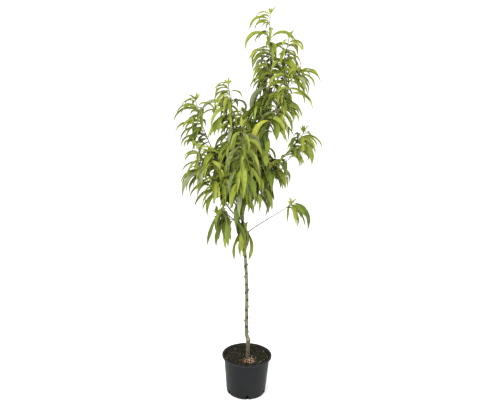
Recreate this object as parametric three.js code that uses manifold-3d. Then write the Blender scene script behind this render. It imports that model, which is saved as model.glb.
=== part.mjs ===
// Dwarf peach tree in a nursery pot: pot, root ball, grafted trunk, boughs and hanging masses of leaves.
// Millimetres, +Z up. The origin is the centre of the pot's flat underside, and -Y is the tree's front.
import * as THREE from "three";
import { mergeVertices } from "three/addons/utils/BufferGeometryUtils.js";
import Module from "manifold-3d";

const wasm = await Module();
wasm.setup();

// ---- driving dimensions ----

const gap = 0.3; // between pieces that touch on the real plant
const clearance = 0.5; // by which a neighbour is grown before it is cut out of a mass
const shortest = 8; // a cut limb keeps the pieces that are longer than this

const pot = {
  height: 178,
  rimRadius: 112.5,
  wallTopRadius: 101.5,
  baseRadius: 88.8,
  baseEdge: 5, // chamfer where the wall turns into the underside
  wall: 1.8,
  floor: 2.2,
  lipDepth: 6, // the rim's turned-down edge
  lipRise: 2.5, // the rim slopes up by this much from the wall to its edge
  sides: 36,
  drains: 6,
  drainWidth: 8,
  drainHeight: 13,
  drainDepth: 9,
  drainTurn: 29, // degrees
};

const soil = {
  top: 168, // 10 mm below the rim
  edgeDrop: 4, // lower by the wall than round the trunk
  flatRadius: 45,
};

const trunk = {
  sides: 10,
  steps: 20,
  footRadius: 9.6,
  flare: 3.2, // added at the soil, gone within flareHeight
  flareHeight: 22,
  graftHeight: 246,
  graftSwell: 1.6,
  graftSpread: 9,
  stemRadius: 7.7, // just above the graft
  topRadius: 5.0, // at the pruned end
};
// The trunk's axis from the soil to its pruned end: a jog at the graft, then a slow lean to the left.
const trunkAxis = [
  [4, 12, soil.top + gap],
  [3, 12, 225],
  [3, 12, 248],
  [-3, 12, 272],
  [-6, 11, 320],
  [-8, 7, 469],
  [-15, 3, 593],
  [-25, -2, 706],
  [-36, -4, 830],
  [-39, -4, 912],
];

const bough = { sides: 6, stepsPerPoint: 2 };

// Limbs: points of the axis from where the limb leaves its parent, and the radius at foot and tip.
const limbs = [
  {
    name: "leader",
    radius: [4.6, 1.6],
    axis: [
      [-38, 0, 876], [-22, 20, 992], [12, 30, 1143],
      [45, 20, 1293], [61, 0, 1430], [52, 0, 1600],
    ],
  },
  {
    name: "bough_left_high",
    radius: [3.6, 1.7],
    axis: [
      [-37, 0, 846], [-95, 25, 925], [-150, 40, 1071],
      [-186, 50, 1142], [-221, 50, 1230], [-246, 50, 1320],
    ],
  },
  {
    name: "bough_left_middle",
    radius: [3.4, 1.8],
    axis: [[-36, 0, 818], [-84, -15, 862], [-155, -30, 978], [-207, -30, 1084], [-228, -30, 1130]],
  },
  {
    name: "bough_left_low",
    radius: [3.2, 1.7],
    axis: [[-32, 0, 768], [-83, -20, 833], [-124, -35, 862], [-157, -40, 840]],
  },
  {
    name: "bough_upper_left",
    radius: [3.8, 1.7],
    axis: [[-38, 0, 892], [-60, -10, 1041], [-81, -20, 1212], [-98, -20, 1335], [-108, -20, 1396]],
  },
  {
    name: "bough_shoulder",
    radius: [2.8, 1.5],
    axis: [[38, 24, 1245], [87, 30, 1396], [116, 40, 1498], [133, 40, 1590]],
  },
  {
    name: "bough_right_upper",
    radius: [3.4, 1.6],
    axis: [[-14, 24, 1014], [45, 0, 1170], [89, -20, 1300], [124, -30, 1395], [170, -40, 1452]],
  },
  {
    name: "bough_right_middle",
    radius: [3.2, 1.6],
    axis: [
      [-36, 0, 872], [27, 30, 947], [91, 50, 1032],
      [145, 60, 1106], [194, 60, 1165], [216, 60, 1202],
    ],
  },
  {
    name: "bough_right_low",
    radius: [2.4, 1.5],
    axis: [[-29, 0, 748], [6, 10, 782], [69, 0, 830], [138, -45, 885], [166, -60, 908]],
  },
  {
    name: "bough_back_left",
    radius: [3.4, 1.7],
    axis: [[-35, 0, 808], [-70, 70, 900], [-108, 130, 1010], [-118, 160, 1110]],
  },
  {
    name: "bough_back_right",
    radius: [3.4, 1.7],
    axis: [[-36, 0, 836], [-10, 75, 930], [28, 140, 1030], [38, 172, 1120]],
  },
  {
    name: "bough_back_high",
    radius: [3.2, 1.6],
    axis: [[-38, 4, 900], [-50, 60, 1020], [-46, 128, 1170], [-40, 150, 1270]],
  },
  {
    name: "bough_front",
    radius: [3.4, 1.7],
    axis: [[-36, 0, 826], [-44, -70, 920], [-40, -135, 1040], [-44, -152, 1160], [-48, -150, 1260]],
  },
];

// Masses of leaves, each a node named leaves_NAME. size is width, depth and height; lean moves the top over
// the foot; taper narrows the top; hang draws the underside down into leaf tips.
const masses = [
  { name: "leader_tip", at: [26, 0, 1634], size: [120, 84, 160], lean: [16, 0], taper: 0.3, hang: 16 },
  { name: "leader", at: [33, 6, 1498], size: [168, 150, 178], lean: [8, 0], taper: 0.18, hang: 18 },
  { name: "shoulder", at: [155, 44, 1530], size: [82, 90, 160], lean: [-16, 0], taper: 0.2, hang: 14 },
  { name: "right_upper", at: [204, -40, 1394], size: [142, 110, 150], lean: [8, 0], taper: -0.12, hang: 22 },
  { name: "right_under", at: [126, 4, 1298], size: [100, 110, 196], lean: [4, 0], taper: 0.08, hang: 22 },
  { name: "upper_centre", at: [28, 44, 1278], size: [94, 110, 196], lean: [12, 0], taper: 0.1, hang: 16 },
  { name: "upper_left", at: [-124, -22, 1296], size: [142, 140, 210], lean: [8, 0], taper: 0.25, hang: 18 },
  { name: "left_high", at: [-262, 50, 1234], size: [122, 110, 176], lean: [2, 0], taper: 0.2, hang: 22 },
  { name: "left_middle", at: [-226, -28, 1012], size: [136, 140, 250], lean: [4, 0], taper: 0.16, hang: 28 },
  { name: "middle_left", at: [-98, -50, 1044], size: [120, 150, 246], lean: [-6, 0], taper: 0.06, hang: 20 },
  { name: "middle_right", at: [8, -56, 1080], size: [116, 150, 256], lean: [-8, 0], taper: 0.1, hang: 20 },
  { name: "right_middle", at: [216, 60, 1136], size: [124, 116, 170], lean: [2, 0], taper: 0.22, hang: 26 },
  { name: "right_inner", at: [110, 40, 1016], size: [92, 96, 124], lean: [10, 6], taper: 0.15, hang: 20 },
  { name: "left_low", at: [-160, -38, 776], size: [140, 120, 200], lean: [-10, 0], taper: 0.02, hang: 22 },
  { name: "trunk_left", at: [-46, -18, 712], size: [46, 32, 134], lean: [6, 4], taper: 0.12, hang: 8 },
  { name: "trunk_right", at: [3, -31, 800], size: [82, 58, 220], lean: [-2, 0], taper: -0.06, hang: 18 },
  { name: "right_hanging", at: [82, 30, 888], size: [62, 56, 152], lean: [-6, 0], taper: 0.08, hang: 18 },
  { name: "right_low", at: [192, -62, 884], size: [84, 80, 116], lean: [-4, 0], taper: 0.18, hang: 22 },
  { name: "back_high", at: [-40, 160, 1196], size: [150, 130, 220], lean: [4, 0], taper: 0.22, hang: 20 },
  { name: "back_left", at: [-132, 164, 996], size: [140, 140, 246], lean: [8, 0], taper: 0.16, hang: 24 },
  { name: "back_right", at: [36, 176, 1004], size: [140, 140, 246], lean: [2, 0], taper: 0.16, hang: 24 },
  { name: "front_high", at: [-54, -166, 1186], size: [120, 110, 200], lean: [4, 0], taper: 0.2, hang: 20 },
  { name: "front_low", at: [-34, -172, 984], size: [124, 114, 190], lean: [4, 0], taper: 0.12, hang: 24 },
];

const clump = {
  detail: 3,
  smallDetail: 2,
  smallHeight: 205, // masses lower than this take the smaller detail
  bump: 0.14,
  waves: 4,
  tips: 5, // leaf tips round the underside
};

// ---- materials ----

const potPlastic = () => new THREE.MeshStandardMaterial({ color: 0x3b3d3f, roughness: 0.5, metalness: 0 });
const pottingSoil = () => new THREE.MeshStandardMaterial({ color: 0x2a241c, roughness: 0.95, metalness: 0 });
const bark = () => new THREE.MeshStandardMaterial({ color: 0x8b8469, roughness: 0.8, metalness: 0 });
const leafGreen = () => new THREE.MeshStandardMaterial({ color: 0x6f8a2f, roughness: 0.6, metalness: 0 });

// ---- solids ----

// A closed geometry as a manifold solid, with its shared vertices merged.
function solidOf(geometry) {
  const bare = geometry.clone();
  bare.deleteAttribute("normal");
  bare.deleteAttribute("uv");
  const merged = mergeVertices(bare, 1e-3);
  const corners = merged.index.array;
  const triVerts = [];
  for (let i = 0; i < corners.length; i += 3) {
    const [a, b, c] = corners.slice(i, i + 3);
    if (a !== b && b !== c && c !== a) triVerts.push(a, b, c);
  }
  return new wasm.Manifold(
    new wasm.Mesh({
      numProp: 3,
      vertProperties: merged.attributes.position.array,
      triVerts: new Uint32Array(triVerts),
    }),
  );
}

function meshOf(name, solid, material) {
  const { vertProperties, triVerts } = solid.getMesh();
  const geometry = new THREE.BufferGeometry();
  geometry.setAttribute("position", new THREE.BufferAttribute(vertProperties, 3));
  geometry.setIndex(new THREE.BufferAttribute(triVerts, 1));
  geometry.computeVertexNormals();
  const mesh = new THREE.Mesh(geometry, material);
  mesh.name = name;
  return mesh;
}

function lengthOf(solid) {
  const { min, max } = solid.boundingBox();
  return Math.hypot(max[0] - min[0], max[1] - min[1], max[2] - min[2]);
}

const biggest = (solid) => solid.decompose().sort((a, b) => b.volume() - a.volume())[0];

// A profile of [radius, height] points turned about +Z.
function turned(profile, sides) {
  const points = profile.map(([radius, height]) => new THREE.Vector2(radius, height));
  return new THREE.LatheGeometry(points, sides).rotateX(Math.PI / 2);
}

// Repeatable numbers from 0 to 1.
function dice(seed) {
  let state = seed * 7919 + 17;
  return () => {
    state = (state * 16807) % 2147483647;
    return state / 2147483647;
  };
}

// ---- pot and root ball ----

// The pot's inside: its floor meets the wall in a chamfer that follows the one outside.
const inside = {
  top: pot.height - pot.lipRise,
  topRadius: pot.wallTopRadius - pot.wall,
  knee: pot.baseEdge + pot.wall / 2,
  kneeRadius: pot.baseRadius - pot.wall,
  floorRadius: pot.baseRadius - pot.baseEdge - pot.wall / 2,
};

function potSolid() {
  const { height, rimRadius, wallTopRadius, baseRadius, baseEdge, wall, floor, lipDepth } = pot;
  const body = solidOf(
    turned(
      [
        [0, 0],
        [baseRadius - baseEdge, 0],
        [baseRadius, baseEdge],
        [wallTopRadius, inside.top - wall],
        [rimRadius - wall, height - wall],
        [rimRadius - wall, height - lipDepth],
        [rimRadius, height - lipDepth],
        [rimRadius, height - wall],
        [rimRadius - wall, height],
        [inside.topRadius, inside.top],
        [inside.kneeRadius, inside.knee],
        [inside.floorRadius, floor],
        [0, floor],
      ],
      pot.sides,
    ),
  );
  // Drain slots through the foot of the wall.
  let cut = body;
  for (let i = 0; i < pot.drains; i++) {
    const slot = new THREE.BoxGeometry(pot.drainDepth, pot.drainWidth, pot.drainHeight);
    slot.translate(baseRadius, 0, pot.drainHeight / 2 + floor + gap);
    slot.rotateZ(THREE.MathUtils.degToRad(pot.drainTurn + (i * 360) / pot.drains));
    cut = cut.subtract(solidOf(slot));
  }
  return cut;
}

// The root ball fills the pot up to 10 mm below its rim.
function soilSolid() {
  const edge = soil.top - soil.edgeDrop;
  const edgeRadius = THREE.MathUtils.mapLinear(
    edge,
    inside.knee,
    inside.top,
    inside.kneeRadius,
    inside.topRadius,
  );
  return solidOf(
    turned(
      [
        [0, pot.floor + gap],
        [inside.floorRadius - 2 * gap, pot.floor + gap],
        [inside.kneeRadius - 2 * gap, inside.knee],
        [edgeRadius - 2 * gap, edge],
        [soil.flatRadius, soil.top],
        [0, soil.top],
      ],
      pot.sides,
    ),
  );
}

// ---- limbs ----

// A cylinder bent along a curve, with its own radius at each step and flat ends.
// Grown, it is fatter and longer.
function limbSolid(axis, radiusAt, sides, steps, grow = 0) {
  const points = axis.map((p) => new THREE.Vector3(...p));
  const curve = new THREE.CatmullRomCurve3(points, false, "centripetal");
  const frames = curve.computeFrenetFrames(steps, false);
  const rod = new THREE.CylinderGeometry(1, 1, 1, sides, steps);
  const spot = new THREE.Vector3();
  const at = rod.attributes.position;
  for (let i = 0; i < at.count; i++) {
    spot.fromBufferAttribute(at, i);
    const step = Math.round((spot.y + 0.5) * steps);
    const centre = curve.getPointAt(step / steps);
    const radius = radiusAt(step / steps, centre) + grow;
    const past = (step === steps) - (step === 0);
    centre.addScaledVector(frames.tangents[step], past * grow);
    centre.addScaledVector(frames.normals[step], spot.x * radius);
    centre.addScaledVector(frames.binormals[step], -spot.z * radius);
    at.setXYZ(i, centre.x, centre.y, centre.z);
  }
  return solidOf(rod);
}

function trunkRadius(share, centre) {
  const { footRadius, flare, flareHeight, graftHeight, graftSwell, graftSpread, stemRadius, topRadius } = trunk;
  const above = centre.z > graftHeight + graftSpread;
  const base = above ? THREE.MathUtils.lerp(stemRadius, topRadius, share) : footRadius;
  const foot = flare * Math.max(0, 1 - (centre.z - soil.top) / flareHeight) ** 2;
  const graft = graftSwell * Math.exp(-(((centre.z - graftHeight) / graftSpread) ** 2));
  return base + foot + graft;
}

// The lowest end of the trunk is cut level with the soil.
function trunkSolid(grow = 0) {
  const stem = limbSolid(trunkAxis, trunkRadius, trunk.sides, trunk.steps, grow);
  const below = new THREE.BoxGeometry(100, 100, 40);
  below.translate(0, 0, soil.top + gap - 20);
  return stem.subtract(solidOf(below));
}

function boughSolid({ radius, axis }, grow = 0) {
  const taper = (share) => THREE.MathUtils.lerp(radius[0], radius[1], share);
  return limbSolid(axis, taper, bough.sides, bough.stepsPerPoint * axis.length, grow);
}

// ---- masses of leaves ----

function massSolid({ at, size, lean, taper, hang }, seed, grow = 0) {
  const roll = dice(seed);
  const waves = Array.from({ length: clump.waves }, () => ({
    along: new THREE.Vector3(roll() - 0.5, roll() - 0.5, roll() - 0.5).multiplyScalar(9),
    phase: roll() * 2 * Math.PI,
  }));
  const turn = roll() * 2 * Math.PI;
  const detail = size[2] < clump.smallHeight ? clump.smallDetail : clump.detail;
  const ball = new THREE.IcosahedronGeometry(1, detail);
  const toward = new THREE.Vector3();
  const spots = ball.attributes.position;
  for (let i = 0; i < spots.count; i++) {
    toward.fromBufferAttribute(spots, i).normalize();
    const uneven = waves.reduce((sum, w) => sum + Math.sin(w.along.dot(toward) + w.phase), 0);
    const swell = 1 + (clump.bump * uneven) / 2;
    const narrow = swell * (1 - taper * toward.z);
    const low = Math.max(0, -toward.z - 0.1);
    const tip = 0.5 + 0.5 * Math.sin(clump.tips * Math.atan2(toward.y, toward.x) + turn);
    spots.setXYZ(
      i,
      at[0] + toward.x * (size[0] / 2 + grow) * narrow + lean[0] * toward.z,
      at[1] + toward.y * (size[1] / 2 + grow) * narrow + lean[1] * toward.z,
      at[2] + toward.z * (size[2] / 2 + grow) * swell - hang * low * tip,
    );
  }
  return solidOf(ball);
}

// ---- the tree ----

const tree = new THREE.Group();
tree.name = "dwarf_peach_tree";
tree.add(meshOf("pot", potSolid(), potPlastic()));
tree.add(meshOf("soil", soilSolid(), pottingSoil()));
tree.add(meshOf("trunk", trunkSolid(), bark()));

// Each mass is cut round the trunk and round the masses before it.
const roundTrunk = trunkSolid(clearance);
const grownMasses = [];
masses.forEach((mass, i) => {
  const cutters = [roundTrunk, ...grownMasses];
  const cut = cutters.reduce((left, cutter) => left.subtract(cutter), massSolid(mass, i + 1));
  tree.add(meshOf(`leaves_${mass.name}`, biggest(cut), leafGreen()));
  grownMasses.push(massSolid(mass, i + 1, clearance));
});

// Each limb starts on its parent's bark and ends where it enters a mass. Where it comes out again
// on the far side, the next stretch is a node of its own.
const grownLimbs = [roundTrunk];
for (const limb of limbs) {
  const cutters = [...grownLimbs, ...grownMasses];
  const cut = cutters.reduce((left, cutter) => left.subtract(cutter), boughSolid(limb));
  const pieces = cut.decompose().sort((a, b) => a.boundingBox().min[2] - b.boundingBox().min[2]);
  const kept = pieces.filter((piece) => lengthOf(piece) > shortest);
  kept.forEach((piece, i) => tree.add(meshOf(i ? `${limb.name}_${i + 1}` : limb.name, piece, bark())));
  grownLimbs.push(boughSolid(limb, gap));
}

export default tree;
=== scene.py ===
# Dwarf peach tree in its nursery pot. Metres, +Z up, the front of the tree towards -Y.
import math
import random

import bpy
from mathutils import Matrix, Vector, noise
from mathutils.bvhtree import BVHTree


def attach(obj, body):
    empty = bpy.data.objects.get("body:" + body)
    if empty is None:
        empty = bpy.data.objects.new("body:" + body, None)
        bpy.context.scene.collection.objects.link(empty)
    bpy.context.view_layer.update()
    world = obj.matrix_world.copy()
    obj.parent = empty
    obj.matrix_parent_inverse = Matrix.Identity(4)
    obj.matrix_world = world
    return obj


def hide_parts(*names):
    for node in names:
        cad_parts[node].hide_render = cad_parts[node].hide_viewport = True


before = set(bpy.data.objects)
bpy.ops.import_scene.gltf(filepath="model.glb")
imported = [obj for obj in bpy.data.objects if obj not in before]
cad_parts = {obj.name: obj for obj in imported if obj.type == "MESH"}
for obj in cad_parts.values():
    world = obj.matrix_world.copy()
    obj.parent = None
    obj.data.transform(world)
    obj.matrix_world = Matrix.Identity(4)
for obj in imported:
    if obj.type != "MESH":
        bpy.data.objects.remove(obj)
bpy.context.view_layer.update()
print("frame loaded,", len(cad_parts), "nodes")

mm = 0.001
up = Vector((0, 0, 1))


# camera, lights and floor

view = {
    "eye": (-0.0063, -2.8, 1.67),
    "down": 15.2,  # degrees below level
    "roll": 1.67,  # degrees, so that upright things lean a little to the right
    "lens": 48.9,  # mm, on a sensor 36 mm wide
}

studio = {
    "surround": (1.0, 1.0, 1.0),
    "surroundStrength": 1.42,
    "keyPlace": (-1.9, -3.2, 3.6),
    "keySize": 2.4,
    "keyPower": 275,
    "fillPlace": (2.6, -2.6, 1.6),
    "fillSize": 2.4,
    "fillPower": 70,
    "aim": (0, 0, 1.1),
    "floorRadius": 14,
    "floorTint": (0.88, 0.88, 0.87),
}


def addToScene(thing):
    bpy.context.scene.collection.objects.link(thing)
    return thing


def addCamera():
    lens = bpy.data.cameras.new("camera")
    lens.lens = view["lens"]
    lens.sensor_width = 36
    camera = addToScene(bpy.data.objects.new("camera", lens))
    level = Matrix.Rotation(math.radians(90 - view["down"]), 4, "X")
    roll = Matrix.Rotation(math.radians(view["roll"]), 4, "Z")
    camera.matrix_world = Matrix.Translation(view["eye"]) @ level @ roll
    bpy.context.scene.camera = camera


def addSoftbox(name, place, size, power):
    lamp = bpy.data.lights.new(name, "AREA")
    lamp.shape = "DISK"
    lamp.size = size
    lamp.energy = power
    box = addToScene(bpy.data.objects.new(name, lamp))
    box.location = place
    box.rotation_euler = (Vector(studio["aim"]) - Vector(place)).to_track_quat("-Z", "Y").to_euler()


def addStudio():
    world = bpy.data.worlds.new("surround")
    world.use_nodes = True
    sky = world.node_tree.nodes["Background"]
    sky.inputs["Color"].default_value = (*studio["surround"], 1)
    sky.inputs["Strength"].default_value = studio["surroundStrength"]
    bpy.context.scene.world = world
    addSoftbox("key", studio["keyPlace"], studio["keySize"], studio["keyPower"])
    addSoftbox("fill", studio["fillPlace"], studio["fillSize"], studio["fillPower"])
    bpy.context.scene.view_settings.view_transform = "Standard"


addCamera()
addStudio()
print("camera and lights in place")


# small tools for meshes

def newBin():
    return {"verts": [], "faces": [], "uvs": [], "kinds": []}


# One mesh object from a bin of vertices and faces, with its materials, smooth or flat.
def pieceFrom(name, bin, materials, smooth=True):
    mesh = bpy.data.meshes.new(name)
    mesh.from_pydata(bin["verts"], [], bin["faces"])
    if bin["uvs"]:
        layer = mesh.uv_layers.new(name="blade")
        for polygon in mesh.polygons:
            for loop, corner in zip(polygon.loop_indices, polygon.vertices):
                layer.data[loop].uv = bin["uvs"][corner]
    for material in materials:
        mesh.materials.append(material)
    if bin["kinds"]:
        mesh.polygons.foreach_set("material_index", bin["kinds"])
    mesh.polygons.foreach_set("use_smooth", [smooth] * len(mesh.polygons))
    mesh.validate()
    return addToScene(bpy.data.objects.new(name, mesh))


# Hands a finished piece over: attaches it to the root and hides the frame nodes that it stands for.
def settle(piece, nodes=()):
    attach(piece, "root")
    if nodes:
        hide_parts(*nodes)
    print(piece.name, "has", len(piece.data.polygons), "faces")


def nodesNamed(start):
    return sorted(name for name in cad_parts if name.startswith(start))


# A smooth line through the points, as stations at an even spacing: a centripetal Catmull-Rom curve.
def smoothLine(points, spacing):
    points = [Vector(p) for p in points]
    ends = [2 * points[0] - points[1]] + points + [2 * points[-1] - points[-2]]
    fine = []
    for a, b, c, d in zip(ends, ends[1:], ends[2:], ends[3:]):
        t = [max((q - p).length, 1e-6) ** 0.5 for p, q in ((a, b), (b, c), (c, d))]
        slopeB = ((b - a) / t[0] - (c - a) / (t[0] + t[1]) + (c - b) / t[1]) * t[1]
        slopeC = ((c - b) / t[1] - (d - b) / (t[1] + t[2]) + (d - c) / t[2]) * t[1]
        for i in range(24):
            s = i / 24
            fine.append(
                b * (2 * s**3 - 3 * s**2 + 1)
                + slopeB * (s**3 - 2 * s**2 + s)
                + c * (3 * s**2 - 2 * s**3)
                + slopeC * (s**3 - s**2)
            )
    fine.append(points[-1])
    total = sum((q - p).length for p, q in zip(fine, fine[1:]))
    count = max(2, round(total / spacing))
    step = total / count
    line = [fine[0]]
    left = step
    for p, q in zip(fine, fine[1:]):
        length = (q - p).length
        while length > 1e-9 and left <= length + 1e-9 and len(line) < count:
            line.append(p.lerp(q, min(1, left / length)))
            left += step
        left -= length
    line.append(fine[-1])
    return line


# Directions across a line, carried along it without twist.
def crossFrames(line):
    frames = []
    side = Vector((1, 0, 0))
    for i, spot in enumerate(line):
        along = (line[min(i + 1, len(line) - 1)] - line[max(i - 1, 0)]).normalized()
        side = (side - along * side.dot(along)).normalized()
        frames.append((spot, along, side, along.cross(side)))
    return frames


# A closed tube round a line. radiusAt gets the share of the length, the angle round and the place on
# the axis.
def addTube(bin, line, sides, radiusAt, kindAt=None):
    rings = []
    frames = crossFrames(line)
    for i, (spot, along, side, over) in enumerate(frames):
        share = i / (len(line) - 1)
        ring = []
        for j in range(sides):
            angle = 2 * math.pi * j / sides
            out = side * math.cos(angle) + over * math.sin(angle)
            ring.append(len(bin["verts"]))
            bin["verts"].append(spot + out * radiusAt(share, angle, spot))
        rings.append(ring)
    for i, (low, high) in enumerate(zip(rings, rings[1:])):
        for j in range(sides):
            k = (j + 1) % sides
            bin["faces"].append((low[j], low[k], high[k], high[j]))
            if kindAt:
                angle = 2 * math.pi * (j + 0.5) / sides
                bin["kinds"].append(kindAt(i / (len(line) - 1), angle, line[i]))
    for ring, spot in ((rings[0][::-1], line[0]), (rings[-1], line[-1])):
        middle = len(bin["verts"])
        bin["verts"].append(spot.copy())
        for j in range(sides):
            bin["faces"].append((ring[j], ring[(j + 1) % sides], middle))
            if kindAt:
                bin["kinds"].append(kindAt(1 if spot is line[-1] else 0, 0, spot))


# small tools for materials

def newMaterial(name, roughness, specular):
    material = bpy.data.materials.new(name)
    material.use_nodes = True
    shader = material.node_tree.nodes["Principled BSDF"]
    shader.inputs["Roughness"].default_value = roughness
    shader.inputs["Specular IOR Level"].default_value = specular
    return material, material.node_tree, shader


def addNode(tree, kind, settings=None, **inputs):
    node = tree.nodes.new("ShaderNode" + kind)
    for name, value in (settings or {}).items():
        setattr(node, name, value)
    for name, value in inputs.items():
        node.inputs[name.replace("_", " ")].default_value = value
    return node


def addNoise(tree, scale, detail=4, roughness=0.55, stretch=(1, 1, 1)):
    coords = addNode(tree, "TexCoord")
    mapping = addNode(tree, "Mapping", Scale=stretch)
    cloud = addNode(tree, "TexNoise", Scale=scale, Detail=detail, Roughness=roughness)
    tree.links.new(coords.outputs["Object"], mapping.inputs["Vector"])
    tree.links.new(mapping.outputs["Vector"], cloud.inputs["Vector"])
    return cloud


# A ramp from one colour to others by the value of a texture.
def addRamp(tree, source, stops):
    ramp = addNode(tree, "ValToRGB")
    band = ramp.color_ramp
    while len(band.elements) < len(stops):
        band.elements.new(0.5)
    for element, (place, colour) in zip(band.elements, stops):
        element.position = place
        element.color = (*colour, 1)
    tree.links.new(source, ramp.inputs["Fac"])
    return ramp


def addBump(tree, shader, source, strength, distance, before=None):
    bump = addNode(tree, "Bump", Strength=strength, Distance=distance)
    tree.links.new(source, bump.inputs["Height"])
    if before:
        tree.links.new(before.outputs["Normal"], bump.inputs["Normal"])
    tree.links.new(bump.outputs["Normal"], shader.inputs["Normal"])
    return bump


def addFloor():
    bin = newBin()
    sides = 96
    rings = [0.4 * 1.42**i for i in range(11)]
    bin["verts"].append(Vector((0, 0, 0)))
    for radius in rings:
        radius = min(radius, studio["floorRadius"])
        for j in range(sides):
            angle = 2 * math.pi * j / sides
            bin["verts"].append(Vector((radius * math.cos(angle), radius * math.sin(angle), 0)))
    for j in range(sides):
        bin["faces"].append((0, 1 + j, 1 + (j + 1) % sides))
    for i in range(len(rings) - 1):
        for j in range(sides):
            k = (j + 1) % sides
            low, high = 1 + i * sides, 1 + (i + 1) * sides
            bin["faces"].append((low + j, high + j, high + k, low + k))
    material, tree, shader = newMaterial("pale floor", 0.7, 0.2)
    cloud = addNoise(tree, 3)
    tint = studio["floorTint"]
    ramp = addRamp(tree, cloud.outputs["Fac"], [(0.3, [c * 0.985 for c in tint]), (0.7, tint)])
    tree.links.new(ramp.outputs["Color"], shader.inputs["Base Color"])
    floor = pieceFrom("floor", bin, [material])


addFloor()


# the pot

pot = {
    "height": 0.1815,
    "rimRadius": 0.1125,
    "wallTopRadius": 0.1040,
    "baseRadius": 0.0888,
    "baseEdge": 0.005,
    "wall": 0.0018,
    "floor": 0.0022,
    "lipDepth": 0.006,
    "lipRise": 0.0025,
    "sides": 180,
    "drains": 6,
    "drainWidth": 0.0130,
    "drainHeight": 0.0235,
    "drainTurn": 34.5,  # degrees
    "ringGap": 0.0035,  # height of one step of the wall
}


# Corners of an outline turned into short arcs.
def rounded(corners, radii, steps=4):
    outline = []
    for i, corner in enumerate(corners):
        radius = radii[i]
        if not radius:
            outline.append(corner)
            continue
        here = Vector(corner)
        back = (Vector(corners[i - 1]) - here).normalized()
        ahead = (Vector(corners[i + 1]) - here).normalized()
        for j in range(steps + 1):
            t = j / steps
            start, end = here + back * radius, here + ahead * radius
            spot = start * (1 - t) ** 2 + here * 2 * t * (1 - t) + end * t**2
            outline.append((spot.x, spot.y))
    return outline


def potProfile():
    rim, top, base = pot["rimRadius"], pot["height"], pot["baseRadius"]
    wall, edge, wallTop = pot["wall"], pot["baseEdge"], pot["wallTopRadius"]
    shelf = top - pot["lipRise"]
    corners = [
        (0, 0.0),
        (base - edge * 1.1, 0.0),
        (base, edge * 1.1),
        (wallTop, shelf - wall),
        (rim - wall, top - wall),
        (rim - wall, top - pot["lipDepth"]),
        (rim, top - pot["lipDepth"]),
        (rim, top),
        (rim - wall, top),
        (wallTop - wall, shelf),
        (base - wall, edge + wall),
        (base - edge - wall, pot["floor"]),
        (0, pot["floor"]),
    ]
    radii = [0, 0.0016, 0.0022, 0.0015, 0.0006, 0, 0.0004, 0.0007, 0.0005, 0.0014, 0.001, 0.001, 0]
    return rounded(corners, radii)


# The profile turned about the pot's axis, with long flats cut into steps so that the wall can be shaped.
def turnProfile(outline, sides, longest):
    fine = [outline[0]]
    for a, b in zip(outline, outline[1:]):
        count = max(1, math.ceil(math.dist(a, b) / longest))
        across, along = b[0] - a[0], b[1] - a[1]
        fine += [(a[0] + across * i / count, a[1] + along * i / count) for i in range(1, count + 1)]
    bin = newBin()
    rings = []
    for radius, height in fine:
        if radius < 1e-6:
            rings.append([len(bin["verts"])] * sides)
            bin["verts"].append(Vector((0, 0, height)))
            continue
        rings.append(list(range(len(bin["verts"]), len(bin["verts"]) + sides)))
        for j in range(sides):
            angle = 2 * math.pi * j / sides
            bin["verts"].append(Vector((radius * math.cos(angle), radius * math.sin(angle), height)))
    for low, high in zip(rings, rings[1:]):
        for j in range(sides):
            k = (j + 1) % sides
            face = []
            for corner in (low[j], low[k], high[k], high[j]):
                if corner not in face:
                    face.append(corner)
            bin["faces"].append(tuple(face))
    return bin


# A slot with a round head, as a solid that is cut out of the wall.
def drainCutter(turn):
    bin = newBin()
    half = pot["drainWidth"] / 2
    head = pot["drainHeight"] - half
    outline = [(-half, -0.002), (half, -0.002)]
    bends = [math.pi * i / 10 for i in range(11)]
    outline += [(half * math.cos(bend), head + half * math.sin(bend)) for bend in bends]
    count = len(outline)
    for depth in (pot["baseRadius"] - 0.0085, pot["baseRadius"] + 0.012):
        for across, height in outline:
            spot = Vector((depth, across, height))
            bin["verts"].append(Matrix.Rotation(math.radians(turn), 3, "Z") @ spot)
    bin["faces"].append(tuple(range(count))[::-1])
    bin["faces"].append(tuple(range(count, 2 * count)))
    for j in range(count):
        k = (j + 1) % count
        bin["faces"].append((j, k, count + k, count + j))
    return pieceFrom("cutter", bin, [])


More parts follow.
